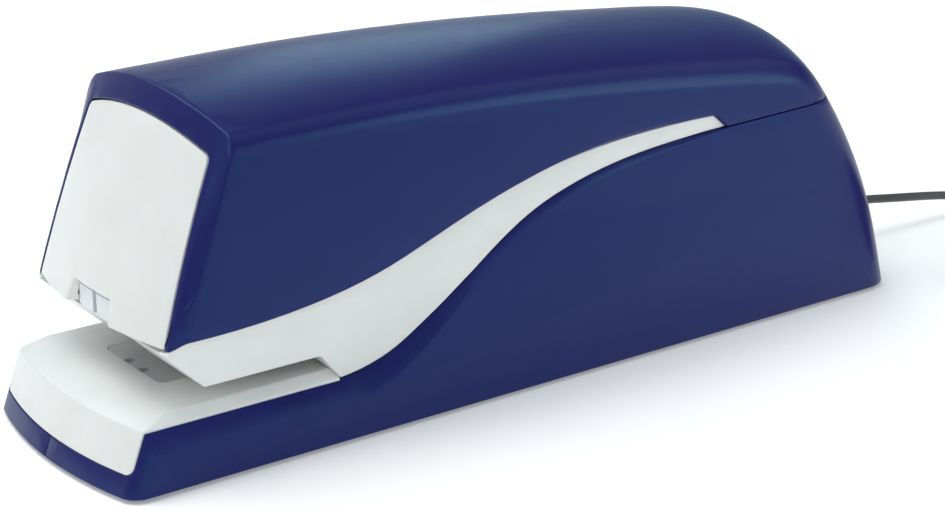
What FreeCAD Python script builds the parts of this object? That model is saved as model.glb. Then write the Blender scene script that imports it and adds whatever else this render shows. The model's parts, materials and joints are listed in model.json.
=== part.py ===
import FreeCAD, Part
import math
import os

os.makedirs("parts", exist_ok=True)
V = FreeCAD.Vector

# Electric desk stapler. Sizes in millimetres.
# Working frame: X across, -Y the nose, +Y the rear, Z up, z = 0 the housing's lower edge.
# Every finished piece is then moved by `origin_shift`, which puts the origin on the table,
# in the middle of the footprint.

# ---- driving dimensions: housing ----
half_width = 33.0            # flat sides
cover_wall = 2.2
housing_wall = 3.0
seam_gap = 0.15              # visible line between two shells
foot_height = 1.0
rake = 0.376                 # the nose and door lean back by this much per mm of height
nose_y = -117.4              # foremost point, at the lower edge
nose_radius = 115.0          # nose seen from above
nose_corner = 5.0
tail_y = 126.0               # rearmost point, at the lower edge

# Ridge line of the body, (y, z), along the middle of its top and down its back.
ridge = [(-125, 81.6), (-104, 82.0), (-84, 82.34), (-44, 83.0), (-5, 82.0), (30, 79.7), (58, 77.0),
         (76, 74.9), (88, 71.4), (98.9, 61), (106.4, 50), (113.6, 37), (119.8, 22), (tail_y, 0),
         (128, -8)]
crown_front, crown_rear = 94.0, 63.0         # radius across the top
shoulder_front, shoulder_rear = 5.5, 9.5     # radius from the top to the flat sides
blend_y = (-90.0, 100.0)                     # where the two radii start and end changing

# Band between the two blue shells, (y, z), seen from the side.
band_tip = (-102.5, 31.1)    # foremost point of its upper edge
band_top = [(-97.5, 33.5), (-69.3, 34.9), (-45.7, 39.6), (-29.4, 45.5), (-12.7, 51.2),
            (4.6, 55.2), (22.5, 57.4), (52.4, 58.2)]
band_foot = [(-57.1, 14.7), (-50, 15.9), (-43, 18.4), (-36, 22.6), (-28.8, 27.6), (-20.4, 34.0),
             (-11.9, 40.0), (-3.2, 44.9), (5.5, 48.2), (14.4, 50.6), (32.6, 53.4), (56.4, 54.8)]
bevel_foot = [(-57.1, 9.4), (-50, 10.3), (-42, 13.5), (-33.7, 19.2), (-25.3, 26.2), (-16.8, 33.2),
              (-8.3, 39.3), (0.4, 44.0), (9.2, 47.2), (19.9, 49.8), (31.8, 51.7), (56.4, 54.6)]
seam_y, seam_z = 56.4, 54.9  # from here the two shells meet directly, along a nearly level line
seam_rear_z = 56.3
band_half_width = 32.0
draft_foot, draft_z = 30.1, (14.5, 34.0)     # below z 34 its sides draw in towards this half width
band_room_half = 28.0
overhang = [0, 0, 0, 0, 0, 0.5, 1.3, 0.5]    # height of the cover's lower bevel at the points of band_top

# ---- driving dimensions: nose, throat and door ----
plate_z, plate_edge_z = 16.8, 14.5           # base plate: top, and the edge of its top bevel
plate_front_low = 4.8                        # lower edge of its front face
plate_half_width, plateau_half_width = 30.2, 28.0
plateau_front_y = -104.9
jaw_z = 21.5                                 # underside of the jaw, so the throat is 4.7 high
jaw_front_y, throat_top_y, throat_low_y = -92.7, -62.8, -57.1
side_bevel_z = 9.4
staple_y = -92.4                             # the staple is driven here
head_half_width = 8.5                        # recess in the jaw for the stapling head
door_gap = 0.35
door_wall = 2.0
door_low_z = 31.6
window_half_width, window_top_z = 9.5, 37.6

# ---- driving dimensions: drive ----
stroke = 12.0                                # travel of the driver blade
arm_pivot = (-30.0, 47.0)                    # (y, z)
arm_front, arm_rear = 61.5, 35.0
arm_angle = math.degrees(math.asin(stroke / 2 / arm_front))
roller_r, cam_base_r, cam_gap = 4.5, 8.0, 0.12
cam_turn = 170.0                             # cam angle of one down-stroke
cam_at = (5.0, 31.0)
plate_x, plate_t = 13.0, 1.5                 # steel side frames
gear_face = 3.4
motor_r, motor_len = 13.85, 38.0

length_middle = (nose_y + tail_y) / 2
origin_shift = V(0, -length_middle, foot_height)


# ---- helpers ----
def save(name, *solids):
    shape = solids[0] if len(solids) == 1 else Part.Compound(list(solids))
    shape = shape.copy()
    shape.translate(origin_shift)
    if not shape.isValid():
        print("NOT VALID", name)
    print(name, len(shape.Solids), round(shape.Volume, 1))
    shape.exportStep("parts/%s.step" % name)


def box(x0, x1, y0, y1, z0, z1):
    return Part.makeBox(x1 - x0, y1 - y0, z1 - z0, V(x0, y0, z0))


def rod_x(y, z, r, x0, x1):
    return Part.makeCylinder(r, x1 - x0, V(x0, y, z), V(1, 0, 0))


def rod_z(x, y, r, z0, z1):
    return Part.makeCylinder(r, z1 - z0, V(x, y, z0))


def polygon(points):
    return Part.Face(Part.makePolygon([V(*p) for p in points] + [V(*points[0])]))


def side_prism(points, x0, x1):
    """A closed (y, z) outline, extruded across the stapler."""
    return polygon([(x0, y, z) for y, z in points]).extrude(V(x1 - x0, 0, 0))


def curve(points, x):
    spline = Part.BSplineCurve()
    spline.interpolate([V(x, y, z) for y, z in points])
    return spline.toShape()


def line(a, b):
    return Part.LineSegment(V(*a), V(*b)).toShape()


def mirrored(shape):
    return shape.mirror(V(0, 0, 0), V(1, 0, 0))


def both_sides(shape):
    return [shape, mirrored(shape)]


def one(shape):
    """The single solid of a boolean result, tidied."""
    shape = shape.removeSplitter()
    solids = sorted(shape.Solids, key=lambda s: -s.Volume)
    if len(solids) > 1:
        print("  dropped pieces:", [round(s.Volume, 2) for s in solids[1:]])
    return solids[0]


# ---- the body's outer form, inset by any wall thickness ----
def cross_section(inset, at, tangent):
    """Crown arc and two shoulder arcs, square to the ridge at one of its points."""
    y, z = at
    down = V(0, tangent.z, -tangent.y)
    part = min(max((y - blend_y[0]) / (blend_y[1] - blend_y[0]), 0), 1)
    crown = crown_front + (crown_rear - crown_front) * part
    shoulder = shoulder_front + (shoulder_rear - shoulder_front) * part
    lean = math.asin((half_width - shoulder) / (crown - shoulder))
    drop = crown - (crown - shoulder) * math.cos(lean)

    def point(x, depth):
        return V(x, y, z) + down * depth

    def on_crown(angle):
        r = crown - inset
        return point(r * math.sin(angle), crown - r * math.cos(angle))

    def on_shoulder(side, angle):
        r = shoulder - inset
        return point(side * (half_width - shoulder + r * math.sin(angle)), drop - r * math.cos(angle))

    half = (lean + math.pi / 2) / 2
    left = Part.Arc(on_shoulder(-1, math.pi / 2), on_shoulder(-1, half), on_shoulder(-1, lean))
    top = Part.Arc(on_crown(-lean), on_crown(0), on_crown(lean))
    right = Part.Arc(on_shoulder(1, lean), on_shoulder(1, half), on_shoulder(1, math.pi / 2))
    return Part.Wire([left.toShape(), top.toShape(), right.toShape()])


def body_form(inset):
    spline = Part.BSplineCurve()
    spline.interpolate([V(0, y, z) for y, z in ridge])
    marks = [spline.parameter(V(0, y, z)) for y, z in ridge]
    stations = sorted(marks + [(a + b) / 2 for a, b in zip(marks[6:-1], marks[7:])])
    sections = []
    for mark in stations:
        tangent = spline.tangent(mark)[0]
        if mark == marks[0]:
            tangent = V(0, 1, 0)
        if mark == marks[-1]:
            tangent = V(0, 0, -1)
        at = spline.value(mark)
        sections.append(cross_section(inset, (at.y, at.z), tangent))
    skin = Part.makeLoft(sections, False, False, False, 5)
    x = half_width - inset
    first, last = sections[0].Vertexes, sections[-1].Vertexes
    y0, z0 = ridge[0][0], ridge[-1][1]
    faces = list(skin.Faces)
    ends = []
    for side in (-1, 1):
        rims = [e for e in skin.Edges
                if all(abs(v.X - side * x) < 1e-4 for v in e.Vertexes)
                and e.Length > 30]
        front = first[0] if side < 0 else first[-1]
        rear = last[0] if side < 0 else last[-1]
        corner = V(side * x, y0, z0)
        faces.append(Part.Face(Part.Wire(Part.__sortEdges__(
            rims + [Part.LineSegment(front.Point, corner).toShape(),
                    Part.LineSegment(corner, rear.Point).toShape()]))))
        ends.append((front.Point, rear.Point, corner))
    (fl, rl, cl), (fr, rr, cr) = ends
    faces.append(Part.Face(Part.Wire(Part.__sortEdges__(
        list(sections[0].Edges) + [Part.LineSegment(fr, cr).toShape(),
                                   Part.LineSegment(cr, cl).toShape(),
                                   Part.LineSegment(cl, fl).toShape()]))))
    faces.append(Part.Face(Part.Wire(Part.__sortEdges__(
        list(sections[-1].Edges) + [Part.LineSegment(rr, cr).toShape(),
                                    Part.LineSegment(cr, cl).toShape(),
                                    Part.LineSegment(cl, rl).toShape()]))))
    shell = Part.Compound(faces)
    shell.sewShape(0.001)
    solid = Part.Solid(shell.Shells[0])
    if solid.Volume < 0:
        solid.reverse()
    return solid


def nose_form(inset, low=-10.0, high=30.0):
    """Nose outline seen from above, carried up along the rake."""
    x = half_width - inset
    big, small = nose_radius - inset, nose_corner - min(inset, nose_corner - 1)
    centre_y = nose_y + nose_radius
    corner_y = centre_y - math.sqrt((big - small) ** 2 - (x - small) ** 2)
    meet = math.atan2(x - small, centre_y - corner_y)
    turn = (meet + math.pi / 2) / 2

    def corner(side, angle):
        return V(side * (x - small + small * math.sin(angle)), corner_y - small * math.cos(angle), 0)

    front = Part.Arc(corner(-1, meet), V(0, centre_y - big, 0), corner(1, meet))
    right = Part.Arc(corner(1, meet), corner(1, turn), corner(1, math.pi / 2))
    left = Part.Arc(corner(-1, math.pi / 2), corner(-1, turn), corner(-1, meet))
    back_y = 180.0
    outline = Part.Wire([left.toShape(), front.toShape(), right.toShape(),
                         line((x, corner_y, 0), (x, back_y, 0)),
                         line((x, back_y, 0), (-x, back_y, 0)),
                         line((-x, back_y, 0), (-x, corner_y, 0))])
    outline.translate(V(0, rake * low, low))
    return Part.Face(outline).extrude(V(0, rake * (high - low), high - low))


def front_form(inset):
    """Raked, slightly bulging front above the throat, with its two side chamfers."""
    outlines = []
    reach, back_y, bulge = half_width + 4, 180.0, 0.8
    for z in (20.0, 40.0, 60.0, 80.0, 100.0):
        y0 = nose_y + rake * z - bulge * (1 - ((z - 54) / 23) ** 2) + inset * 1.07
        door_x = 31.1 - 0.05 * (z - 32) - inset * 0.4
        door_y = y0 + door_x ** 2 / (2 * nose_radius)
        side_y = -97.5 + 0.313 * (z - 33.5) + inset * 1.07
        slope = (side_y - door_y) / (half_width - door_x)
        far_y = side_y + slope * 4
        arc = Part.Arc(V(-door_x, door_y, z), V(0, y0, z), V(door_x, door_y, z))
        outlines.append(Part.Wire([arc.toShape(),
                                   line((door_x, door_y, z), (reach, far_y, z)),
                                   line((reach, far_y, z), (reach, back_y, z)),
                                   line((reach, back_y, z), (-reach, back_y, z)),
                                   line((-reach, back_y, z), (-reach, far_y, z)),
                                   line((-reach, far_y, z), (-door_x, door_y, z))]))
    return Part.makeLoft(outlines, True, False)


def door_outline(inset):
    """Front view of the door, carried along Y."""
    low_x, high_x, low_z, side_z, top_z = 29.75, 27.3, door_low_z, 72.3, 76.5
    corners = [V(-low_x + inset, -130, low_z + inset), V(low_x - inset, -130, low_z + inset),
               V(high_x - inset, -130, side_z - inset), V(-high_x + inset, -130, side_z - inset)]
    edges = [Part.LineSegment(corners[0], corners[1]).toShape(),
             Part.LineSegment(corners[1], corners[2]).toShape(),
             Part.Arc(corners[2], V(0, -130, top_z - inset), corners[3]).toShape(),
             Part.LineSegment(corners[3], corners[0]).toShape()]
    solid = Part.Face(Part.Wire(edges)).extrude(V(0, 90, 0))
    top_corners = [e for e in solid.Edges if abs(e.Vertexes[0].X - e.Vertexes[-1].X) < 1e-6
                   and e.Length > 80 and e.Vertexes[0].Z > 50]
    return solid.makeFillet(2.0, top_corners)


def region_above_band():
    """Everything that belongs to the upper cover; its lower edge is bevelled over the band's rear."""
    outlines = []
    for x in (half_width + 0.5, band_half_width, -band_half_width, -half_width - 0.5):
        grow = max(abs(x) - band_half_width, 0)
        rim = [(y, z + lift * grow) for (y, z), lift in zip(band_top, overhang)]
        path = [rim[-1], (seam_y, seam_z), (150, seam_rear_z + 0.9), (150, 130), (-140, 130),
                (-140, band_tip[1]), band_tip, rim[0]]
        edges = [curve(rim, x)] + [line((x,) + a, (x,) + b) for a, b in zip(path, path[1:])]
        outlines.append(Part.Wire(edges))
    return Part.makeLoft(outlines, True, True)


def side_of_band(z):
    """Half width of the band's side face at a height."""
    part = min(max((draft_z[1] - z) / (draft_z[1] - draft_z[0]), 0), 1)
    return band_half_width - (band_half_width - draft_foot) * part


def band_sides(grow):
    x, foot_x = band_half_width + grow, draft_foot + grow
    return polygon([(-foot_x, -150, -20), (foot_x, -150, -20), (foot_x, -150, draft_z[0]),
                    (x, -150, draft_z[1]), (x, -150, 90), (-x, -150, 90), (-x, -150, draft_z[1]),
                    (-foot_x, -150, draft_z[0])]).extrude(V(0, 300, 0))


def region_below_band():
    """The lower housing's region: its upper bevel climbs from the flat side to the band's foot."""
    outer_x, nose_x = half_width + 0.5, plate_half_width
    knee = [(side_of_band(z), y, z) for y, z in band_foot]
    skirt = []
    for (x, y, z), (yb, zb) in zip(knee, bevel_foot):
        beyond = (outer_x - half_width) / (half_width - x)
        skirt.append((outer_x, yb - (y - yb) * beyond, zb - (z - zb) * beyond))
    beyond = (outer_x - half_width) / (half_width - nose_x)
    skirt_nose_z = side_bevel_z - (plate_edge_z - side_bevel_z) * beyond

    def outline(side, rim, front_x, nose_z):
        rear_x = rim[-1][0]
        path = [rim[-1], (rear_x, 150, seam_rear_z + 0.7), (rear_x, 150, -20), (front_x, -140, -20),
                (front_x, -140, nose_z), (front_x, throat_low_y - 6, nose_z), rim[0]]
        spline = Part.BSplineCurve()
        spline.interpolate([V(side * x, y, z) for x, y, z in rim])
        path = [(side * x, y, z) for x, y, z in path]
        return Part.Wire([spline.toShape()] + [line(a, b) for a, b in zip(path, path[1:])])

    outer_rim, inner_rim = (skirt, outer_x, skirt_nose_z), (knee, nose_x, plate_edge_z)
    return Part.makeLoft([outline(1, *outer_rim), outline(1, *inner_rim),
                          outline(-1, *inner_rim), outline(-1, *outer_rim)], True, True)


def band_region(grow):
    """Side outline of the jaw and band, extruded across and optionally grown at its long edges."""
    x = 40
    top = [(y, z + grow) for y, z in band_top]
    foot = [(y + 0.6 * grow, z - 0.8 * grow) for y, z in band_foot]
    path = [foot[0], (throat_top_y, jaw_z), (jaw_front_y, jaw_z), (band_tip[0], band_tip[1] + grow), top[0]]
    edges = [curve(top, -x), line((-x,) + top[-1], (-x,) + foot[-1]), curve(foot, -x)]
    edges += [line((-x,) + a, (-x,) + b) for a, b in zip(path, path[1:])]
    return Part.Face(Part.Wire(Part.__sortEdges__(edges))).extrude(V(2 * x, 0, 0))


def gear(teeth, module, x0, x1, at, bore, phase=0.0):
    """Spur gear about an axle along X. Flanks follow the involute, thinned for backlash."""
    pitch_r = teeth * module / 2
    base_r = pitch_r * math.cos(math.radians(20))
    tip_r, root_r = pitch_r + 0.8 * module, pitch_r - 1.15 * module
    half_tooth = math.pi / (2 * teeth) - 0.09 * module / pitch_r
    roll = math.tan(math.radians(20)) - math.radians(20)

    def flank(r):
        if r <= base_r:
            return half_tooth + roll
        angle = math.acos(base_r / r)
        return half_tooth + roll - (math.tan(angle) - angle)

    radii = [root_r, max(base_r, root_r + 0.05), (pitch_r + tip_r) / 2, tip_r]
    points = []
    for n in range(teeth):
        middle = 2 * math.pi * n / teeth + phase
        for side, order in ((-1, radii), (1, radii[::-1])):
            for r in order:
                a = middle + side * flank(r)
                points.append((at[0] + r * math.cos(a), at[1] + r * math.sin(a)))
    return side_prism(points, x0, x1).cut(rod_x(at[0], at[1], bore, x0 - 1, x1 + 1))


def polar(origin, distance, degrees):
    a = math.radians(degrees)
    return (origin[0] + distance * math.cos(a), origin[1] + distance * math.sin(a))


def screw(x, y, z_head, length, r=1.5, head_r=2.8, head=1.6):
    """Pan-head screw pushed up from below, with a cross recess."""
    body = rod_z(x, y, head_r, z_head, z_head + head)
    body = body.fuse(rod_z(x, y, r, z_head + head, z_head + length))
    for a, b in ((1.7, 0.35), (0.35, 1.7)):
        body = body.cut(box(x - a, x + a, y - b, y + b, z_head - 1, z_head + 0.9))
    return body


def tube_path(points):
    """Straight runs joined by the largest tangent arcs they allow."""
    pts = [V(*p) for p in points]
    runs = [(b - a).Length for a, b in zip(pts, pts[1:])]
    edges, start, radii = [], pts[0], []
    for i in range(1, len(pts) - 1):
        a = (pts[i - 1] - pts[i]).normalize()
        b = (pts[i + 1] - pts[i]).normalize()
        turn = math.pi - a.getAngle(b)
        cut = 0.45 * min(runs[i - 1], runs[i])
        radius = cut / math.tan(turn / 2)
        radii.append(round(radius, 1))
        p, q = pts[i] + a * cut, pts[i] + b * cut
        bisector = (a + b).normalize()
        middle = pts[i] + bisector * (radius / math.cos(turn / 2) - radius)
        edges.append(Part.LineSegment(start, p).toShape())
        edges.append(Part.Arc(p, middle, q).toShape())
        start = q
    edges.append(Part.LineSegment(start, pts[-1]).toShape())
    return Part.Wire(edges), radii


def tube(points, r):
    path, radii = tube_path(points)
    first = path.Edges[0]
    heading = first.tangentAt(first.FirstParameter)
    ring = Part.Wire(Part.makeCircle(r, V(*points[0]), heading))
    solid = path.makePipeShell([ring], True, False)
    print("  tube radii", radii, "length", round(path.Length, 1),
          "volume ratio", round(solid.Volume / (math.pi * r * r * path.Length), 4))
    return solid


def rod_y(x, z, r, y0, y1):
    return Part.makeCylinder(r, y1 - y0, V(x, y0, z), V(0, 1, 0))


# ---- shells ----
outer, cover_inner, housing_inner = body_form(0), body_form(cover_wall), body_form(housing_wall)
above, below = region_above_band(), region_below_band()
band, band_room = band_region(0), band_region(seam_gap)
door_zone, door_hole = door_outline(door_gap), door_outline(0)


def upper_cover():
    shell = outer.common(front_form(0))
    shell = shell.cut(cover_inner.common(front_form(cover_wall)))
    shell = shell.cut(door_hole).cut(box(-29.75, 29.75, -140, -90, 20, door_low_z + 1)).common(above)
    rib_zone = body_form(cover_wall - 0.01).cut(body_form(cover_wall + 2.5))
    ribs = [box(x - 0.8, x + 0.8, -70, 50, 66, 90) for x in (-20, 20)]
    ribs += [box(-30, 30, y - 0.8, y + 0.8, 66, 90) for y in (-70, -10, 50)]
    for rib in ribs:
        shell = shell.fuse(rib.common(rib_zone))
    return one(shell)


def nose_plate_zone(grow):
    """Base plate: raked front face, bevelled rim and raised middle, back to the throat."""
    def outline(x, front_y, z, back_y):
        y = front_y + x * x / (2 * nose_radius)
        arc = Part.Arc(V(-x, y, z), V(0, front_y, z), V(x, y, z)).toShape()
        return Part.Wire([arc, line((x, y, z), (x, back_y, z)), line((x, back_y, z), (-x, back_y, z)),
                          line((-x, back_y, z), (-x, y, z))])

    def raked_y(z):
        return nose_y + rake * z

    x, low = plate_half_width + grow, plate_front_low - grow
    back_y = throat_low_y - seam_gap + grow
    lower = Part.makeLoft([outline(x, raked_y(low), low, back_y),
                           outline(x, raked_y(plate_edge_z), plate_edge_z, back_y)], True, True)
    rounded = box(-x, x, -150, 0, low, 60)
    corners = [e for e in rounded.Edges if e.Length > 140 and e.Vertexes[0].Z < low + 1]
    lower = lower.common(rounded.makeFillet(2.0, corners))
    upper = Part.makeLoft([outline(x, raked_y(plate_edge_z), plate_edge_z, back_y),
                           outline(plateau_half_width, plateau_front_y, plate_z, back_y)], True, True)
    return lower, upper


def anvil_form(grow):
    x, front_y, back_y = 13.3 + grow, -94.2 - grow, -79.0 + grow
    block = box(-x, x, front_y, back_y, plate_z - 2.6 - grow, plate_z + 3 * grow - 0.3)
    uprights = [e for e in block.Edges if abs(e.Vertexes[0].Z - e.Vertexes[-1].Z) > 1]
    return block.makeFillet(2.0, uprights)


def base_plate():
    lower, upper = nose_plate_zone(0)
    hollow = nose_form(housing_wall + 2.2, -10, 12.3).common(box(-27.8, 27.8, -130, -59.5, -10, 12.3))
    plate = lower.cut(hollow).fuse(upper)
    plate = plate.cut(anvil_form(seam_gap / 2)).cut(anvil_form(seam_gap / 2).translated(V(0, 0, 2)))
    back = throat_low_y - seam_gap
    plate = plate.cut(side_prism([(throat_top_y - seam_gap, jaw_z), (back, 15), (back, 5), (-40, 5),
                                  (-40, jaw_z)], -40, 40))
    for x in (-20, 20):
        plate = plate.fuse(rod_z(x, -84, 3.2, 3.2, 12.5).cut(rod_z(x, -84, 1.25, 0, 10.5)))
    return one(plate)


def anvil_plate():
    plate = anvil_form(0)
    for side in (-1, 1):
        x = side * 3.4
        pocket = rod_z(x, -93.2, 1.2, plate_z - 2.0, plate_z + 1)
        pocket = pocket.fuse(box(x - 1.2, x + 1.2, -95.0, -93.2, plate_z - 2.0, plate_z + 1))
        plate = plate.cut(pocket)
    return one(plate)


cord_exit_z = 10.6
boss_x, boss_ys = 24.0, (-46.0, 50.0, 92.0)
foot_x, foot_ys = 22.0, (-100.0, 106.0)
sensor_x = 20.0
sensor_pivot = (-69.0, 31.0)
frame_screw_x, frame_screw_ys = plate_x + plate_t + 3.2, (-23, 12)


def lower_housing():
    """Both halves as one form. They are parted down the middle afterwards."""
    shell = outer.common(nose_form(0, -12, 130)).common(below)
    shell = shell.cut(housing_inner.common(nose_form(housing_wall, -12, 130)))
    shell = shell.cut(box(-60, 60, -200, 200, -30, 0))
    for zone in nose_plate_zone(seam_gap):
        shell = shell.cut(zone)
    shell = shell.cut(band_room.common(band_sides(0.1)))
    shell = shell.cut(rod_y(0, cord_exit_z, 4.2, 100, 140))
    for side in (-1, 1):
        for y in boss_ys:
            boss = rod_z(side * boss_x, y, 3.6, 2.6, 15)
            boss = boss.fuse(box(min(side * boss_x, side * 31), max(side * boss_x, side * 31),
                                 y - 0.9, y + 0.9, 2.6, 14))
            shell = shell.fuse(boss.cut(rod_z(side * boss_x, y, 1.25, 0, 14)))
    return shell


def mid_frame():
    """Jaw over the throat, its slanted rear wall, and the two bands that sweep up the sides."""
    frame = band.common(band_sides(0))
    room = band_room_half
    hollow = side_prism([(-140, 31.1), (-97, 31.1), (-90.6, 23.5), (-61.9, 23.5), (-54.4, 14.4),
                         (-54.4, -5), (80, -5), (80, 90), (-140, 90)], -room, room)
    frame = frame.cut(hollow).cut(box(-30.0, 30.0, -140, -92.5, door_low_z - 0.3, 60))
    frame = frame.cut(side_prism([(-140, 10), (-86, 10), (-86, 60), (-140, 60)],
                                 -head_half_width, head_half_width))
    frame = frame.cut(box(sensor_x - 2, sensor_x + 2, -71.5, -60.8, 20, 24))
    ahead_of_cover = box(-40, 40, -140, -90, 21, 60).cut(front_form(0))
    return one(frame.cut(ahead_of_cover))


def bottom_cover():
    inset = housing_wall + 0.2
    slab = body_form(inset).common(nose_form(inset, -12, 30)).common(box(-60, 60, -200, 200, 0.4, 2.4))
    for side in (-1, 1):
        for x, y in [(boss_x, y) for y in boss_ys] + [(20, -84)]:
            slab = slab.cut(rod_z(side * x, y, 1.7, 0, 3))
            slab = slab.cut(rod_z(side * x, y, 3.1, 0, 1.1))
        for y in foot_ys:
            slab = slab.cut(rod_z(side * foot_x, y, 2.0, 0, 3))
        for y in frame_screw_ys:
            slab = slab.cut(rod_z(side * frame_screw_x, y, 1.3, 0, 3))
            slab = slab.cut(rod_z(side * frame_screw_x, y, 2.4, 0, 1.4))
    return one(slab)


def foot(x, y):
    pad = rod_z(x, y, 5.5, -foot_height, 0.4)
    rim = [e for e in pad.Edges if abs(e.Vertexes[0].Z + foot_height) < 1e-6 and len(e.Vertexes) == 1]
    return pad.makeFillet(0.4, rim[:1]).fuse(rod_z(x, y, 1.9, 0.4, 3.4)).removeSplitter()


housing = lower_housing()
save("lower_housing_left", one(housing.common(box(-60, -0.05, -200, 200, -50, 150))))
save("lower_housing_right", one(housing.common(box(0.05, 60, -200, 200, -50, 150))))
save("upper_cover", upper_cover())
save("mid_frame", mid_frame())
save("base_plate", base_plate())
save("anvil_plate", anvil_plate())
save("bottom_cover", bottom_cover())
save("rubber_feet", *[foot(s * foot_x, y) for s in (-1, 1) for y in foot_ys])
save("housing_screws", *[screw(s * boss_x, y, -0.5, 13.5, r=1.2) for s in (-1, 1) for y in boss_ys])
save("base_plate_screws", *[screw(s * 20, -84, -0.5, 10.5, r=1.2) for s in (-1, 1)])


# ---- drawer: front door, carrier, cassette, staples ----
door_back = front_form(door_wall)


def front_door():
    skin = front_form(0).common(door_zone)
    inner = door_back.common(door_outline(door_gap + 1.6))
    door = skin.cut(inner).cut(front_form(7.0))
    window = []
    for w, y in ((window_half_width + 3.6, -108.6), (window_half_width - 0.6, -102.6),
                 (window_half_width - 0.6, -96.0)):
        window.append(Part.makePolygon([V(-w, y, 25), V(w, y, 25), V(w - 0.85, y, window_top_z),
                                        V(-w + 0.85, y, window_top_z), V(-w, y, 25)]))
    return one(door.cut(Part.makeLoft(window, True, True)))


def cassette_carrier():
    wall = box(8.4, 9.9, -97.0, -36, 31.4, 39.4).fuse(box(9.9, 11.0, -90, -36, 35, 39))
    wall = wall.fuse(box(8.4, 21, -108, -94.5, 39.4, 45).common(door_back))
    return one(wall.fuse(mirrored(wall)).fuse(box(-9.9, 9.9, -37.2, -36, 33.4, 37)))


def staple_cassette():
    channel = box(-8, 8, -94.8, -38, 23.9, 33.2).cut(box(-7, 7, -93.2, -39, 24.9, 34))
    for side in (-1, 1):
        channel = channel.fuse(box(min(side * 5.4, side * 7.6), max(side * 5.4, side * 7.6),
                                   -89.5, -39, 32.2, 33.2))
    tower = box(-8, 8, -94.8, -90.6, 23.9, 49).cut(box(-6.7, 6.7, -93.2, -89, 20, 50))
    tower = tower.cut(box(-1.0, 1.0, -95, -94.2, 25, 36))
    channel = channel.cut(box(-6.7, 6.7, -93.2, -91.8, 20, 50))
    return one(channel.fuse(tower).fuse(cassette_nose()))


def cassette_nose():
    """Rounded front of the cassette, seen through the door's notch, with a groove and a lip line."""
    y0, y1, crease_z, round_off = -102.75, -94.6, 31.5, 0.35

    def outline(z, back):
        x = window_half_width - 0.8 - (z - 25) * 0.067
        y = y0 + back
        arc = Part.Arc(V(-x, y + round_off, z), V(0, y, z), V(x, y + round_off, z)).toShape()
        return Part.Wire([arc, line((x, y + round_off, z), (x, y1, z)), line((x, y1, z), (-x, y1, z)),
                          line((-x, y1, z), (-x, y + round_off, z))])

    nose = Part.makeLoft([outline(crease_z - 1.4, 1.0), outline(crease_z, 0)], True, True)
    nose = nose.fuse(Part.makeLoft([outline(crease_z, 0), outline(37.2, 0)], True, True))
    nose = nose.cut(box(-0.85, 0.85, -104, y0 + 2.0, crease_z + 0.1, 36.9))
    for side in (-1, 1):
        nose = nose.cut(box(min(side * 0.85, side * 9), max(side * 0.85, side * 9),
                            -104, y0 + 0.7, 36.45, 36.75))
    return nose


def staple_strip():
    strip = box(-6.7, 6.7, -91.8, -64, 31, 31.6)
    for s in (-1, 1):
        strip = strip.fuse(box(s * 6.35 - 0.35, s * 6.35 + 0.35, -91.8, -64, 25.2, 31))
    return one(strip)


def helix_spring(at, axis, r, wire, length, turns):
    coil = Part.makeHelix(length / turns, length, r)
    ring = Part.Wire(Part.makeCircle(wire, V(r, 0, 0), V(0, 1, 0)))
    spring = Part.Wire(coil.Edges).makePipeShell([ring], True, True)
    spring.Placement = FreeCAD.Placement(V(*at), FreeCAD.Rotation(V(0, 0, 1), axis))
    return spring


save("front_door", front_door())
save("cassette_carrier", cassette_carrier())
save("staple_cassette", staple_cassette())
save("staple_strip", staple_strip())
save("staple_pusher", box(-6.2, 6.2, -63.8, -58, 25.2, 31.8))
save("pusher_spring", helix_spring((0, -57.6, 28.5), V(0, 1, 0), 2.4, 0.3, 18.0, 9))

# ---- driver blade: slides down inside the cassette's tower ----
blade_top = 48.0
blade = box(-6.4, 6.4, -93.0, -92.1, 33.8, blade_top)
save("driver_blade", one(blade.fuse(box(-6.0, 6.0, -92.1, -88.0, blade_top - 1.4, blade_top))))

# ---- side frames and what lies between them ----
gear_two_at = polar(cam_at, 26.0, -8)
gear_one_at = polar(gear_two_at, 20.8, -4)
motor_at = polar(gear_one_at, 18.0, -6)
spacers = [(-70, 59.5), (-44, 66), (30, 62), (47, 12)]


def side_frame(side, rear_y):
    """Steel plate with a foot flange, on one side of the mechanism."""
    x0, x1 = plate_x, plate_x + plate_t
    frame = side_prism([(-80, 33.4), (-80, 60), (-48, 72), (40, 70), (56, 58), (84, 44), (84, 6.0),
                        (-40, 6.0), (-50, 20)], x0, x1)
    for y in frame_screw_ys:
        frame = frame.fuse(box(x0, x1, y - 8, y + 8, 2.5, 7)).fuse(box(x0, x1 + 5.8, y - 8, y + 8, 2.5, 4.0))
        frame = frame.cut(rod_z(frame_screw_x, y, 1.3, 0, 6))
    holes = [(arm_pivot, 1.95), (cam_at, 3.05)] + [(at, 1.5) for at in spacers]
    if side < 0:
        holes += [(gear_one_at, 2.0), (gear_two_at, 2.0), (motor_at, 5.0)]
    for at, r in holes:
        frame = frame.cut(rod_x(at[0], at[1], r, x0 - 1, x1 + 1))
    frame = one(frame.cut(box(x0 - 1, x1 + 8, rear_y, 120, -10, 90)))
    return mirrored(frame) if side < 0 else frame


def spacer(y, z):
    return rod_x(y, z, 2.6, -plate_x, plate_x).fuse(rod_x(y, z, 1.5, -plate_x - 1.8, plate_x + 1.8))


def drawer_rail():
    rail = box(10.2, plate_x, -80, -20, 33.5, 41.5).cut(box(9, 11.3, -90, 0, 34.6, 39.5))
    return one(rail)


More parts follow.
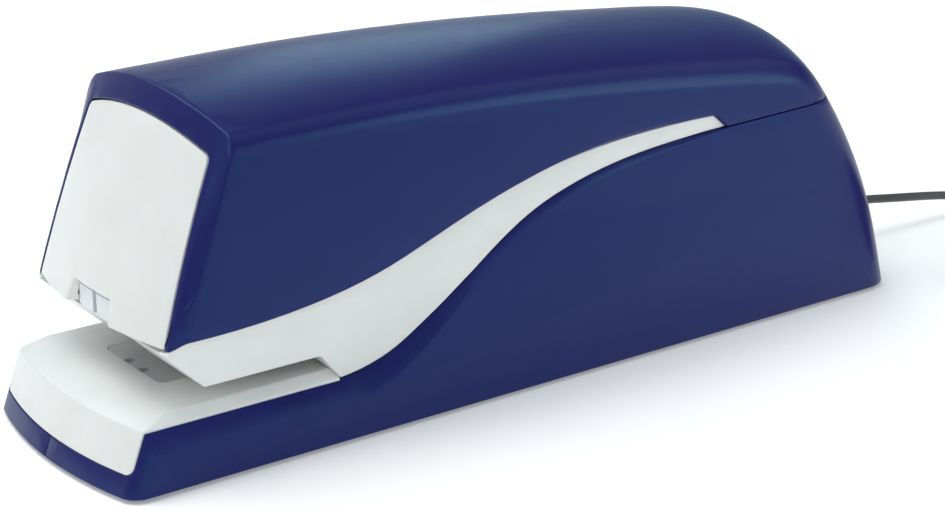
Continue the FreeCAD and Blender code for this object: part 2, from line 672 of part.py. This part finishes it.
save("side_frame_left", side_frame(-1, 90))
save("side_frame_right", side_frame(1, 53))
save("frame_spacers", *[one(spacer(y, z)) for y, z in spacers])
save("frame_screws", *[screw(s * frame_screw_x, y, 0.0, 5.8, r=1.2, head_r=2.2, head=1.35)
                       for s in (-1, 1) for y in frame_screw_ys])
save("drawer_rails", *both_sides(drawer_rail()))

# ---- hammer arm ----
roller_at = (arm_pivot[0] + arm_rear * math.cos(math.radians(arm_angle)),
             arm_pivot[1] - arm_rear * math.sin(math.radians(arm_angle)))


def hammer_arm():
    y0, z0 = arm_pivot
    y1, z1 = staple_y, z0 + stroke / 2
    y2, z2 = roller_at
    arm = side_prism([(y1 + 0.6, z1 + 2.2), (y0, z0 + 5), (y2 - 7, z2 + 6), (y2 + 5, z2 + 5),
                      (y2 + 5, z2 - 4), (y2 - 9, z2 - 4), (y0, z0 - 5), (y1 + 5, z1 - 3),
                      (y1 + 0.6, z1 - 3)], -5.5, 5.5)
    arm = arm.fuse(rod_x(y1 + 2.9, blade_top + 2.75, 2.6, -5.0, 5.0))
    arm = arm.cut(rod_x(y0, z0, 2.0, -9, 9))
    arm = arm.cut(box(-3.0, 3.0, y2 - 6.2, y2 + 9, z2 - 9, z2 + 9))
    return one(arm.cut(rod_x(y2, z2, 1.5, -9, 9)))


save("hammer_arm", hammer_arm())
save("arm_pivot_pin", rod_x(arm_pivot[0], arm_pivot[1], 1.95, -16, 16))
save("roller_pin", rod_x(roller_at[0], roller_at[1], 1.5, -5.5, 5.5))
save("follower_roller", rod_x(roller_at[0], roller_at[1], roller_r, -2.7, 2.7).cut(
    rod_x(roller_at[0], roller_at[1], 1.55, -4, 4)))
spring_y, spring_high = -44.0, 62.8
spring_low = 53.4
save("return_spring", helix_spring((0, spring_y, spring_low), V(0, 0, 1), 3.0, 0.4,
                                   spring_high - spring_low, 9))


# ---- cam and gear train ----
def stapling_cam():
    """Its edge rises evenly over the down-stroke, then falls back in the rest of the turn."""
    lift = stroke * arm_rear / arm_front
    centre_r = cam_base_r + roller_r + cam_gap
    rise = lift / math.radians(cam_turn)
    edge = []
    for step in range(-2, 19):
        turn = math.radians(cam_turn) * step / 16
        r = centre_r + rise * turn
        normal = math.atan2(rise, r)
        a = math.pi / 2 - turn
        back = roller_r + cam_gap
        edge.append(V(0, r * math.cos(a) - back * math.cos(a + normal),
                      r * math.sin(a) - back * math.sin(a + normal)))
    last, first = edge[-1], edge[0]
    a0, a1 = math.atan2(last.z, last.y), math.atan2(first.z, first.y)
    a1 = a1 - 2 * math.pi if a1 > a0 else a1
    for n in range(1, 6):
        part = n / 6
        ease = part * part * (3 - 2 * part)
        a = a0 + (a1 - a0) * part
        r = last.Length + (first.Length - last.Length) * ease
        edge.append(V(0, r * math.cos(a), r * math.sin(a)))
    outline = Part.BSplineCurve()
    outline.interpolate(edge, PeriodicFlag=True)
    cam = Part.Face(Part.Wire(outline.toShape())).extrude(V(5.0, 0, 0))
    cam.translate(V(-2.5, cam_at[0], cam_at[1]))
    return one(cam.cut(rod_x(cam_at[0], cam_at[1], 3.0, -9, 9)))


layer_a, layer_b, layer_c = -18.4, -22.2, -26.0       # outer x of each gear layer
bearing = 0.05                                        # radial clearance of everything that turns


def meshed(angle_to_next, teeth, driver_phase, driver_teeth):
    """Phase of a gear so that its gaps meet the teeth of the one before it."""
    there = math.radians(angle_to_next)
    offset = (there - driver_phase) * driver_teeth / (2 * math.pi)
    return there + math.pi - (offset + 0.5) * -2 * math.pi / teeth


phase_cam = 0.0
phase_two = meshed(-8, 12, phase_cam, 40)
phase_two_wheel = 0.0
phase_one = meshed(-4, 12, phase_two_wheel, 40)
phase_motor = meshed(-6, 12, 0.0, 48)
save("stapling_cam", stapling_cam())
save("cam_gear", gear(40, 1.0, layer_b, layer_b + gear_face, cam_at, 3.0, phase_cam))
save("cam_shaft", rod_x(cam_at[0], cam_at[1], 3.0, layer_b - 0.4, plate_x + plate_t + 1.5))
two_y, two_z = gear_two_at
one_y, one_z = gear_one_at
gear_two = gear(12, 1.0, layer_b, layer_b + gear_face, gear_two_at, 2.0 + bearing, phase_two)
gear_two = gear_two.fuse(rod_x(two_y, two_z, 4.2, layer_c + gear_face, layer_b).cut(
    rod_x(two_y, two_z, 2.0 + bearing, -30, 0)))
gear_two = gear_two.fuse(gear(40, 0.8, layer_c, layer_c + gear_face, gear_two_at, 2.0 + bearing,
                              phase_two_wheel))
save("compound_gear_two", one(gear_two))
gear_one = gear(12, 0.8, layer_c, layer_c + gear_face, gear_one_at, 2.0 + bearing, phase_one)
gear_one = gear_one.fuse(rod_x(one_y, one_z, 3.2, layer_c + gear_face, layer_a).cut(
    rod_x(one_y, one_z, 2.0 + bearing, -30, 0)))
gear_one = gear_one.fuse(gear(48, 0.6, layer_a, layer_a + 3.0, gear_one_at, 2.0 + bearing, 0.0))
save("compound_gear_one", one(gear_one))
save("gear_axles", *[rod_x(y, z, 2.0, -28.4, -plate_x) for y, z in (gear_two_at, gear_one_at)])
outer_plate = side_prism([(cam_at[0] - 9, 24), (cam_at[0] - 9, 38), (two_y, 41), (one_y + 9, 36),
                          (one_y + 9, 18), (two_y, 16)], -28.2, -27.0)
for at, r in ((gear_two_at, 2.0), (gear_one_at, 2.0)):
    outer_plate = outer_plate.cut(rod_x(at[0], at[1], r, -30, -20))
save("gear_plate", one(outer_plate))


# ---- motor ----
def motor():
    y, z = motor_at
    can = rod_x(y, z, motor_r, -plate_x + 0.02, -plate_x + motor_len)
    flats = box(-30, 40, y - 20, y + 20, z + 11.6, z + 20)
    flats = flats.fuse(box(-30, 40, y - 20, y + 20, z - 20, z - 11.6))
    can = can.cut(flats).cut(rod_x(y, z, 1.6, -30, 60))
    return one(can.fuse(rod_x(y, z, 4.9, -plate_x - plate_t, -plate_x + 0.02).cut(rod_x(y, z, 1.6, -30, 60))))


save("motor", motor())
my, mz = motor_at
save("motor_shaft", rod_x(my, mz, 1.55, layer_a - 0.4, -plate_x + motor_len + 2))
save("motor_pinion", gear(12, 0.6, layer_a, layer_a + 3.0, motor_at, 1.55, phase_motor))
save("motor_screws", *[rod_x(my, mz + s * 8, 1.2, -plate_x - plate_t - 1.2, -plate_x - plate_t)
                       for s in (-1, 1)])


# ---- paper sensor ----
def sensor_lever():
    y, z = sensor_pivot
    lever = side_prism([(y - 1.4, z), (y - 1.0, 17.7), (y + 1.0, 17.7), (y + 1.4, z), (y + 4, z + 4),
                        (y + 2, z + 5.5), (y - 1.5, z + 2)], sensor_x - 1, sensor_x + 1)
    lever = lever.fuse(rod_x(y, z, 2.6, sensor_x - 2.4, sensor_x + 2.4))
    return one(lever.cut(rod_x(y, z, 1.0 + bearing, 10, 30)))


save("paper_lever", sensor_lever())
save("paper_lever_pin", rod_x(sensor_pivot[0], sensor_pivot[1], 1.0, plate_x + plate_t, 27.6))
save("paper_switch", box(sensor_x - 3, sensor_x + 3, -61.5, -49, 32.5, 39.5).fuse(
    box(sensor_x - 1.2, sensor_x + 1.2, -64.4, -61.5, 34.5, 36.5)).removeSplitter())

# ---- electronics ----
board_z = 7.0
save("circuit_board", box(-23, 23, 88, 112, board_z, board_z + 1.6).cut(
    box(-28, -20, 86, 97, 0, 20)).cut(box(20, 28, 86, 97, 0, 20)))
save("board_posts", *[rod_z(x, y, 2.0, 2.4, board_z) for x in (-17, 17) for y in (99, 109)])
save("capacitor", rod_z(10, 99, 5.0, board_z + 1.6, board_z + 17))
save("power_terminal", box(-6, 4, 98, 105, board_z + 1.6, board_z + 9))
save("motor_relay", box(-19, -8, 99, 110, board_z + 1.6, board_z + 13))

# ---- power lead: strain relief, cord, put-away coil, tie and plug-in adapter ----
cord_r = 1.25
floor_z = -foot_height
coil_at = (28.0, 212.0)
coil_inner, coil_outer, coil_low, coil_high = 8.2, 20.8, -0.2, 9.9
coil_turn_r = 19.5
adapter = (36.0, 60.0, 142.0, 181.0, floor_z, 27.0)


def turned(profile, at, axis):
    """Solid of revolution from (distance along the axis, radius) points."""
    side = V(0, 0, 1) if axis.z == 0 else V(1, 0, 0)
    points = [V(*at) + axis * a + side * r for a, r in profile]
    face = Part.Face(Part.makePolygon(points + [points[0]]))
    return face.revolve(V(*at), axis, 360)


def strain_relief():
    profile = [(113, 0), (113, 5.6), (117.4, 5.6), (117.4, 4.1), (123.5, 4.1), (123.5, 3.4)]
    for n in range(4):
        y = 124.5 + 2.4 * n
        r = 3.4 - 0.42 * n
        profile += [(y, r), (y, r - 0.5), (y + 1.0, r - 0.6), (y + 1.0, r - 0.15)]
    profile += [(134, 1.7), (134, 0)]
    return turned(profile, (0, 0, cord_exit_z), V(0, 1, 0))


def coil():
    low, high, edge = coil_low, coil_high, 1.2
    r0, r1 = coil_inner, coil_outer
    profile = [(low, r0 + edge), (low + edge, r0), (high - edge, r0), (high, r0 + edge),
               (high, r1 - edge), (high - edge, r1), (low + edge, r1), (low, r1 - edge)]
    return turned(profile, (coil_at[0], coil_at[1], 0), V(0, 0, 1))


def coil_tie():
    x, y = coil_at
    t, gap = 0.5, 0.2
    inner = y + coil_inner - 0.6
    band = box(x - 2.5, x + 2.5, inner - t, y + coil_outer + gap + t,
               coil_low - gap - t, coil_high + gap + t)
    return band.cut(box(x - 3, x + 3, inner, y + coil_outer + gap, coil_low - gap, coil_high + gap))


def adapter_body():
    body = box(*adapter)
    return body.makeFillet(2.5, body.Edges)


x_mid = coil_at[0] + coil_turn_r
relief_y = adapter[3] + 9
relief_z = 3.2
route_in = [(0, 134, cord_exit_z), (0, 138, cord_exit_z), (0.1, 152, 8.4), (0.7, 172, 5.6), (3.2, 189, 2.6),
            (7.6, 203, 0.6), (8.5, 212, 1.05)]
route_out = [(x_mid, coil_at[1], coil_low + cord_r), (x_mid - 0.5, 203, 1.6), (x_mid, 196, relief_z),
             (x_mid, relief_y, relief_z)]
save("strain_relief", strain_relief())
save("inner_lead", rod_y(0, cord_exit_z, cord_r, 105, 113))
save("power_cord", tube(route_in, cord_r))
save("power_cord_end", tube(route_out, cord_r))
save("cord_coil", coil())
save("cord_tie", coil_tie())
relief_seat = rod_y(x_mid, relief_z, 3.0, adapter[3] - 1, adapter[3] + 1)
save("adapter_body", adapter_body().cut(relief_seat))
relief_profile = [(adapter[3] - 1, 0), (adapter[3] - 1, 3.0), (adapter[3] + 2, 2.8), (relief_y, 1.7),
                  (relief_y, 0)]
save("adapter_relief", turned(relief_profile, (x_mid, 0, relief_z), V(0, 1, 0)))
pin_mid_y, pin_z = (adapter[2] + adapter[3]) / 2, 14.0
save("adapter_pins", *[rod_x(pin_mid_y + s * 9.5, pin_z, 2.0, adapter[1], adapter[1] + 17) for s in (-1, 1)])
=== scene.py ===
import json
import math
import bpy
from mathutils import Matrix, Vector


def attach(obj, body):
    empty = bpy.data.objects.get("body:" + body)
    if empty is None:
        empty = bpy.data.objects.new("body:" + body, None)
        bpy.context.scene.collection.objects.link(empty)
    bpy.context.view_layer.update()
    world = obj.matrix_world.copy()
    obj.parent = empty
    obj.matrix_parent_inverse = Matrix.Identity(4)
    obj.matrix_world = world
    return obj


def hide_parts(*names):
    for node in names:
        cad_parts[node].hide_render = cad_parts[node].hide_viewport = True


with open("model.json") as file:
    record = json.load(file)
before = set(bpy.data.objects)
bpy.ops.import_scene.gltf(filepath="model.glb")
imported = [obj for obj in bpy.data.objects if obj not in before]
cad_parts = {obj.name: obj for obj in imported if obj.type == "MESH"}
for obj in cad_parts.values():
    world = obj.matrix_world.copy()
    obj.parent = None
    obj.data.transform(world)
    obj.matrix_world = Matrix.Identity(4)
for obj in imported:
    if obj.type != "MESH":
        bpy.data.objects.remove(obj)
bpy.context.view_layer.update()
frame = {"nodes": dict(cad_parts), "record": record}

scene = bpy.context.scene
nodes = frame["nodes"]


# ---- camera, floor, light ----
camera_at = Vector((0.437728, -0.321529, 0.220549))
camera_aim = Vector((0.0, -0.002345, 0.023926))
camera = bpy.data.objects.new("camera", bpy.data.cameras.new("camera"))
camera.location = camera_at
camera.rotation_euler = (camera_aim - camera_at).to_track_quat("-Z", "Y").to_euler()
camera.data.lens = 87.546
camera.data.sensor_width = 36.0
camera.data.clip_start = 0.01
scene.collection.objects.link(camera)
scene.camera = camera


def node_tree(material):
    material.use_nodes = True
    tree = material.node_tree
    tree.nodes.clear()
    out = tree.nodes.new("ShaderNodeOutputMaterial")
    shader = tree.nodes.new("ShaderNodeBsdfPrincipled")
    tree.links.new(shader.outputs[0], out.inputs["Surface"])
    return tree, shader


def moulded(name, dark, light, rough=(0.35, 0.45), grain=9000.0, bump=0.05, mottle=60.0, **sockets):
    """Moulded or finished surface: two close shades, uneven gloss and a fine grain."""
    material = bpy.data.materials.new(name)
    tree, shader = node_tree(material)
    where = tree.nodes.new("ShaderNodeTexCoord").outputs["Object"]

    def noise(scale, detail):
        node = tree.nodes.new("ShaderNodeTexNoise")
        node.inputs["Scale"].default_value = scale
        node.inputs["Detail"].default_value = detail
        tree.links.new(where, node.inputs["Vector"])
        return node.outputs["Fac"]

    ramp = tree.nodes.new("ShaderNodeValToRGB")
    ramp.color_ramp.elements[0].position = 0.35
    ramp.color_ramp.elements[0].color = (*dark, 1)
    ramp.color_ramp.elements[1].position = 0.65
    ramp.color_ramp.elements[1].color = (*light, 1)
    tree.links.new(noise(mottle, 3.0), ramp.inputs["Fac"])
    tree.links.new(ramp.outputs["Color"], shader.inputs["Base Color"])
    gloss = tree.nodes.new("ShaderNodeMapRange")
    gloss.inputs["From Min"].default_value = 0.35
    gloss.inputs["From Max"].default_value = 0.65
    gloss.inputs["To Min"].default_value = rough[0]
    gloss.inputs["To Max"].default_value = rough[1]
    tree.links.new(noise(mottle * 4, 4.0), gloss.inputs["Value"])
    tree.links.new(gloss.outputs["Result"], shader.inputs["Roughness"])
    relief = tree.nodes.new("ShaderNodeBump")
    relief.inputs["Strength"].default_value = bump
    relief.inputs["Distance"].default_value = 0.00005
    tree.links.new(noise(grain, 2.0), relief.inputs["Height"])
    tree.links.new(relief.outputs["Normal"], shader.inputs["Normal"])
    for socket, value in sockets.items():
        shader.inputs[socket.replace("_", " ")].default_value = value
    return material


def floor_material():
    return moulded("floor", (0.94, 0.93, 0.915), (0.96, 0.95, 0.935), rough=(0.75, 0.85), grain=900,
                   bump=0.02, mottle=8.0, Emission_Color=(1, 1, 1, 1), Emission_Strength=0.2)


bpy.ops.mesh.primitive_plane_add(size=8.0, location=(0, 0, 0))
floor = bpy.context.object
floor.name = "floor"
floor.data.materials.append(floor_material())


def studio_world():
    """Soft pale surroundings with one dark side, which the shoulder and the bevels reflect."""
    world = bpy.data.worlds.new("studio")
    world.use_nodes = True
    tree = world.node_tree
    background = tree.nodes["Background"]
    direction = tree.nodes.new("ShaderNodeTexCoord").outputs["Generated"]
    dot = tree.nodes.new("ShaderNodeVectorMath")
    dot.operation = "DOT_PRODUCT"
    tree.links.new(direction, dot.inputs[0])
    dot.inputs[1].default_value = Vector((0.187, 0.606, 0.773)).normalized()
    ramp = tree.nodes.new("ShaderNodeValToRGB")
    stops = ((0.0, (0.36, 0.38, 0.40)), (0.30, (0.34, 0.43, 0.46)), (0.50, (0.24, 0.40, 0.44)),
             (0.72, (0.16, 0.24, 0.30)), (0.86, (0.03, 0.02, 0.05)), (1.0, (0.02, 0.01, 0.04)))
    for position, colour in stops:
        element = ramp.color_ramp.elements.new(position)
        element.color = (*colour, 1)
    ramp.color_ramp.elements.remove(ramp.color_ramp.elements[0])
    ramp.color_ramp.elements.remove(ramp.color_ramp.elements[-1])
    tree.links.new(dot.outputs["Value"], ramp.inputs["Fac"])
    tree.links.new(ramp.outputs["Color"], background.inputs["Color"])
    background.inputs["Strength"].default_value = 1.0
    return world


scene.world = studio_world()
scene.view_settings.view_transform = "Standard"


def softbox(name, at, aim, size, power, colour=(1, 1, 1)):
    light = bpy.data.lights.new(name, "AREA")
    light.shape = "RECTANGLE"
    light.size, light.size_y = size
    light.energy = power
    light.color = colour
    lamp = bpy.data.objects.new(name, light)
    lamp.location = at
    lamp.visible_camera = False
    lamp.rotation_euler = (Vector(aim) - Vector(at)).to_track_quat("-Z", "Y").to_euler()
    scene.collection.objects.link(lamp)


softbox("front_key", (-0.05, -1.15, 0.70), (0, 0, 0.04), (0.6, 0.6), 2.8)
softbox("left_key", (-0.75, -0.30, 0.85), (0, -0.05, 0.03), (0.45, 0.45), 1.7)
softbox("overhead", (-0.25, -0.25, 1.35), (0, 0, 0.04), (1.0, 0.9), 11.0)
softbox("side_panel", (1.10, 0.75, 0.20), (0, 0.02, 0.05), (1.6, 0.5), 1.8)
softbox("rear_panel", (0.46, 0.42, 0.26), (0.03, 0.06, 0.07), (0.35, 0.30), 0.85)
softbox("chamfer_panel", (1.10, -0.52, 0.07), (0, 0, 0.04), (0.5, 0.12), 0.5)
softbox("top_glow", (-0.45, 0.29, 0.31), (0, -0.03, 0.10), (0.18, 0.26), 0.14, (0.6, 0.9, 1.0))


# ---- materials ----
looks = {
    "blue_housing": moulded("blue_housing", (0.0135, 0.0098, 0.101), (0.0148, 0.0108, 0.109),
                            rough=(0.28, 0.31), bump=0.02,
                            Specular_IOR_Level=0.34, Specular_Tint=(0.22, 0.72, 1.0, 1)),
    "light_grey_plastic": moulded("light_grey_plastic", (0.735, 0.73, 0.71), (0.765, 0.76, 0.74),
                                  rough=(0.30, 0.37)),
    "cassette_plastic": moulded("cassette_plastic", (0.70, 0.71, 0.72), (0.74, 0.75, 0.76)),
    "black_plastic": moulded("black_plastic", (0.012, 0.012, 0.014), (0.02, 0.02, 0.022), bump=0.2),
    "anvil_steel": moulded("anvil_steel", (0.72, 0.72, 0.72), (0.80, 0.80, 0.80), rough=(0.48, 0.56),
                           Metallic=1.0),
    "steel": moulded("steel", (0.50, 0.50, 0.51), (0.6, 0.6, 0.61), Metallic=1.0),
    "bright_steel": moulded("bright_steel", (0.7, 0.7, 0.71), (0.8, 0.8, 0.8), rough=(0.15, 0.25),
                            Metallic=1.0),
    "gear_plastic": moulded("gear_plastic", (0.78, 0.76, 0.68), (0.82, 0.80, 0.73)),
    "brass": moulded("brass", (0.62, 0.44, 0.18), (0.7, 0.52, 0.24), Metallic=1.0),
    "motor_steel": moulded("motor_steel", (0.35, 0.35, 0.36), (0.42, 0.42, 0.43), Metallic=1.0),
    "rubber": moulded("rubber", (0.014, 0.014, 0.015), (0.022, 0.022, 0.023), rough=(0.6, 0.75), bump=0.3),
    "cord_jacket": moulded("cord_jacket", (0.055, 0.055, 0.056), (0.070, 0.070, 0.072), rough=(0.34, 0.44)),
    "board": moulded("board", (0.02, 0.14, 0.06), (0.03, 0.17, 0.08)),
    "capacitor_sleeve": moulded("capacitor_sleeve", (0.012, 0.014, 0.05), (0.02, 0.02, 0.07)),
}
slot_of = {part["node"]: part["material_slot"] for part in frame["record"]["subparts"]}
for name, node in nodes.items():
    node.data.materials.clear()
    node.data.materials.append(looks[slot_of[name]])

# Width of the rounded edge of each outer piece, in metres. Welding and dissolving join the flat
# facets first, so that only real edges are rounded.
rounded = {"front_door": 0.00025, "base_plate": 0.0004, "mid_frame": 0.0002, "upper_cover": 0.0004,
           "lower_housing_left": 0.00022, "lower_housing_right": 0.00022}
for name, width in rounded.items():
    node = nodes[name]
    for polygon in node.data.polygons:
        polygon.use_smooth = True
    weld = node.modifiers.new("weld", "WELD")
    weld.merge_threshold = 2e-5
    flat = node.modifiers.new("flat", "DECIMATE")
    flat.decimate_type = "DISSOLVE"
    flat.angle_limit = math.radians(0.8)
    edges = node.modifiers.new("edges", "BEVEL")
    edges.width = width
    edges.segments = 3
    edges.limit_method = "ANGLE"
    edges.angle_limit = math.radians(24)
    edges.use_clamp_overlap = False
    edges.harden_normals = True
    edges.miter_outer = "MITER_ARC"


# ---- power cord: route and coil in millimetres, from the housing to the adapter ----
cord_d = 0.0025
layer_step = 2.5                              # one cord thickness
first_layer_z = 2.05
route_in = [(0, 129.7, 11.6), (0, 133.7, 11.6), (0.1, 147.7, 9.4), (0.7, 167.7, 6.6), (3.2, 184.7, 3.6),
            (7.6, 198.7, 1.6), (8.5, 207.7, 2.05)]
route_out = [(47.5, 207.7, 2.05), (47.0, 198.7, 2.6), (47.5, 191.7, 4.2), (47.5, 185.7, 4.2)]
coil_centre = (28.0, 207.7)
columns = (19.5, 17.0, 14.5, 12.0, 9.5)       # radius of each turn in a layer
layers = 4
per_turn = 16                                 # points in one turn


def coil_points():
    """Turns wound inwards on the lowest layer, outwards on the next, and so on, ending outside."""
    stack = []
    for layer in range(layers):
        order = columns if layer % 2 == 0 else columns[::-1]
        stack += [(r, first_layer_z + layer_step * layer) for r in order]
    points = []
    turns = len(stack) - 1.5
    steps = int(round(turns * per_turn))
    for k in range(1, steps):
        turn = k / per_turn
        i = min(int(turn), len(stack) - 2)
        # the cord crosses to the next turn over the middle half of each one
        ease = min(max((turn - i - 0.25) * 2, 0), 1)
        r = stack[i][0] + (stack[i + 1][0] - stack[i][0]) * ease
        z = stack[i][1] + (stack[i + 1][1] - stack[i][1]) * ease
        angle = math.pi - 2 * math.pi * turn
        points.append((coil_centre[0] + r * math.cos(angle), coil_centre[1] + r * math.sin(angle), z))
    return points


def cord_curve(name, points, radius):
    data = bpy.data.curves.new(name, "CURVE")
    data.dimensions = "3D"
    spline = data.splines.new("NURBS")
    spline.points.add(len(points) - 1)
    for point, (x, y, z) in zip(spline.points, points):
        point.co = (x / 1000, y / 1000, z / 1000, 1)
    spline.order_u = 3
    spline.use_endpoint_u = True
    spline.resolution_u = 6
    data.bevel_depth = radius
    data.bevel_resolution = 4
    data.use_fill_caps = True
    piece = bpy.data.objects.new(name, data)
    scene.collection.objects.link(piece)
    data.materials.append(looks["cord_jacket"])
    return piece


cord = cord_curve("lead", route_in + coil_points() + route_out, cord_d / 2)
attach(cord, "housing")
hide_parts("power_cord", "power_cord_end", "cord_coil")
